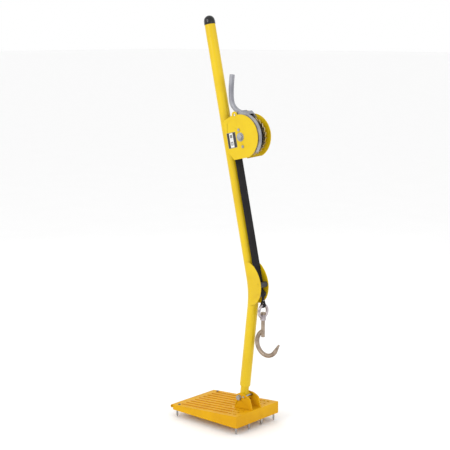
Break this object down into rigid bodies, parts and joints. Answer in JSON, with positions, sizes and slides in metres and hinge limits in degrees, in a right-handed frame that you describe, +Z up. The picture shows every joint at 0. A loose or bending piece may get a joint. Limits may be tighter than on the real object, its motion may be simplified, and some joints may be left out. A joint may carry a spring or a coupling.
{
  "type": "manhole cover lifter",
  "caption": "Bent mast on a wedge foot plate with ground studs; a lever ratchet winch runs webbing through a two-roller guide head to a ring and open hook.",
  "frame": {"origin": "on the ground plane at the stud tips, under the middle of the whole lifter's footprint", "axes": "+Z up, +X forward to the side where the hook hangs, +Y to the lifter's left"},
  "size_m": [0.4897, 0.27, 1.6948],
  "materials": {
    "yellow_paint": "semi-gloss powder coat, scuffed at edges",
    "steel": "zinc-plated fasteners",
    "zinc_steel": "dull zinc plating, warm grey",
    "dark_steel": "oiled hardened steel",
    "bronze": "plain bearing bronze",
    "cast_aluminium": "cast, lightly bead blasted",
    "black_plastic": "glossy moulded cap",
    "black_roller": "matt black roller",
    "plate_print": "printed plate with plain black and white bands",
    "webbing": "woven polyester webbing"
  },
  "bodies": {
    "foot": {"foot_plate": "yellow_paint", "heel_tube": "yellow_paint", "tread_ribs": "yellow_paint", "ground_studs": "steel", "stud_nuts": "steel", "heel_screws": "dark_steel", "pivot_ear_right": "yellow_paint", "pivot_ear_left": "yellow_paint", "stop_pin": "steel", "pivot_bolt": "steel", "pivot_nut": "steel", "pivot_washers": "steel"},
    "mast": {"mast_tube": "yellow_paint", "mast_foot": "yellow_paint", "pivot_bushes": "bronze", "mast_cap": "black_plastic", "winch_back_plate": "yellow_paint", "winch_cheek_right": "yellow_paint", "winch_cheek_left": "yellow_paint", "cheek_screws": "steel", "data_plate": "plate_print", "axle_bolt": "steel", "axle_nut": "steel", "axle_washers": "steel", "holding_pawl_pin": "yellow_paint", "holding_pawl_spring": "steel", "guide_cheek_right": "yellow_paint", "guide_cheek_left": "yellow_paint", "roller_pins": "yellow_paint", "webbing_run": "webbing"},
    "drum": {"drum_core": "cast_aluminium", "drum_bushes": "bronze", "ratchet_wheel_right": "steel", "ratchet_wheel_left": "steel", "webbing_roll": "webbing"},
    "lever": {"lever_yoke": "cast_aluminium", "lever_bar": "cast_aluminium", "drive_pawl_pin": "steel", "drive_pawl_spring": "steel"},
    "drive_pawl": {"drive_pawl": "dark_steel"},
    "holding_pawl": {"holding_pawl": "dark_steel"},
    "front_roller": {"front_roller": "black_roller"},
    "rear_roller": {"rear_roller": "dark_steel"},
    "strap_end": {"webbing_tail": "webbing", "webbing_loop": "webbing"},
    "ring": {"ring": "zinc_steel"},
    "hook": {"hook": "zinc_steel"}
  },
  "joints": [
    {"name": "mast_tilt", "type": "hinge", "parent": "foot", "child": "mast", "pos_m": [0.05579, 0, 0.122], "axis": [0, 1, 0], "range_deg": [-80, 0]},
    {"name": "drum_turn", "type": "hinge", "parent": "mast", "child": "drum", "pos_m": [0.0691, 0, 1.21357], "axis": [0, 1, 0], "range_deg": [-210, 0]},
    {"name": "lever_swing", "type": "hinge", "parent": "mast", "child": "lever", "pos_m": [0.0691, 0, 1.21357], "axis": [0, 1, 0], "range_deg": [0, 90]},
    {"name": "drive_pawl_turn", "type": "hinge", "parent": "lever", "child": "drive_pawl", "pos_m": [0.0564, 0, 1.29661], "axis": [0, 1, 0], "range_deg": [0, 9.5]},
    {"name": "holding_pawl_turn", "type": "hinge", "parent": "mast", "child": "holding_pawl", "pos_m": [-0.00249, 0, 1.26811], "axis": [0, 1, 0], "range_deg": [0, 9.5]},
    {"name": "front_roller_turn", "type": "hinge", "parent": "mast", "child": "front_roller", "pos_m": [0.15129, 0, 0.613], "axis": [0, 1, 0], "continuous": true},
    {"name": "rear_roller_turn", "type": "hinge", "parent": "mast", "child": "rear_roller", "pos_m": [0.14479, 0, 0.572], "axis": [0, 1, 0], "continuous": true},
    {"name": "hook_drop", "type": "slide", "parent": "mast", "child": "strap_end", "axis": [0, 0, -1], "range_m": [0, 0.24], "deforming": ["webbing_tail"]},
    {"name": "ring_swing", "type": "hinge", "parent": "strap_end", "child": "ring", "pos_m": [0.15749, 0, 0.5295], "axis": [0, 1, 0], "range_deg": [-45, 1.5]},
    {"name": "hook_swivel", "type": "hinge", "parent": "ring", "child": "hook", "pos_m": [0.15749, 0, 0.4785], "axis": [0, 0, 1], "range_deg": [-90, 90]}
  ],
  "couplings": [
    {"joint": "hook_drop", "follows": "drum_turn", "m_per_rad": -0.0652},
    {"joint": "front_roller_turn", "follows": "drum_turn", "ratio": 4.7591},
    {"joint": "rear_roller_turn", "follows": "drum_turn", "ratio": -5.1339}
  ]
}
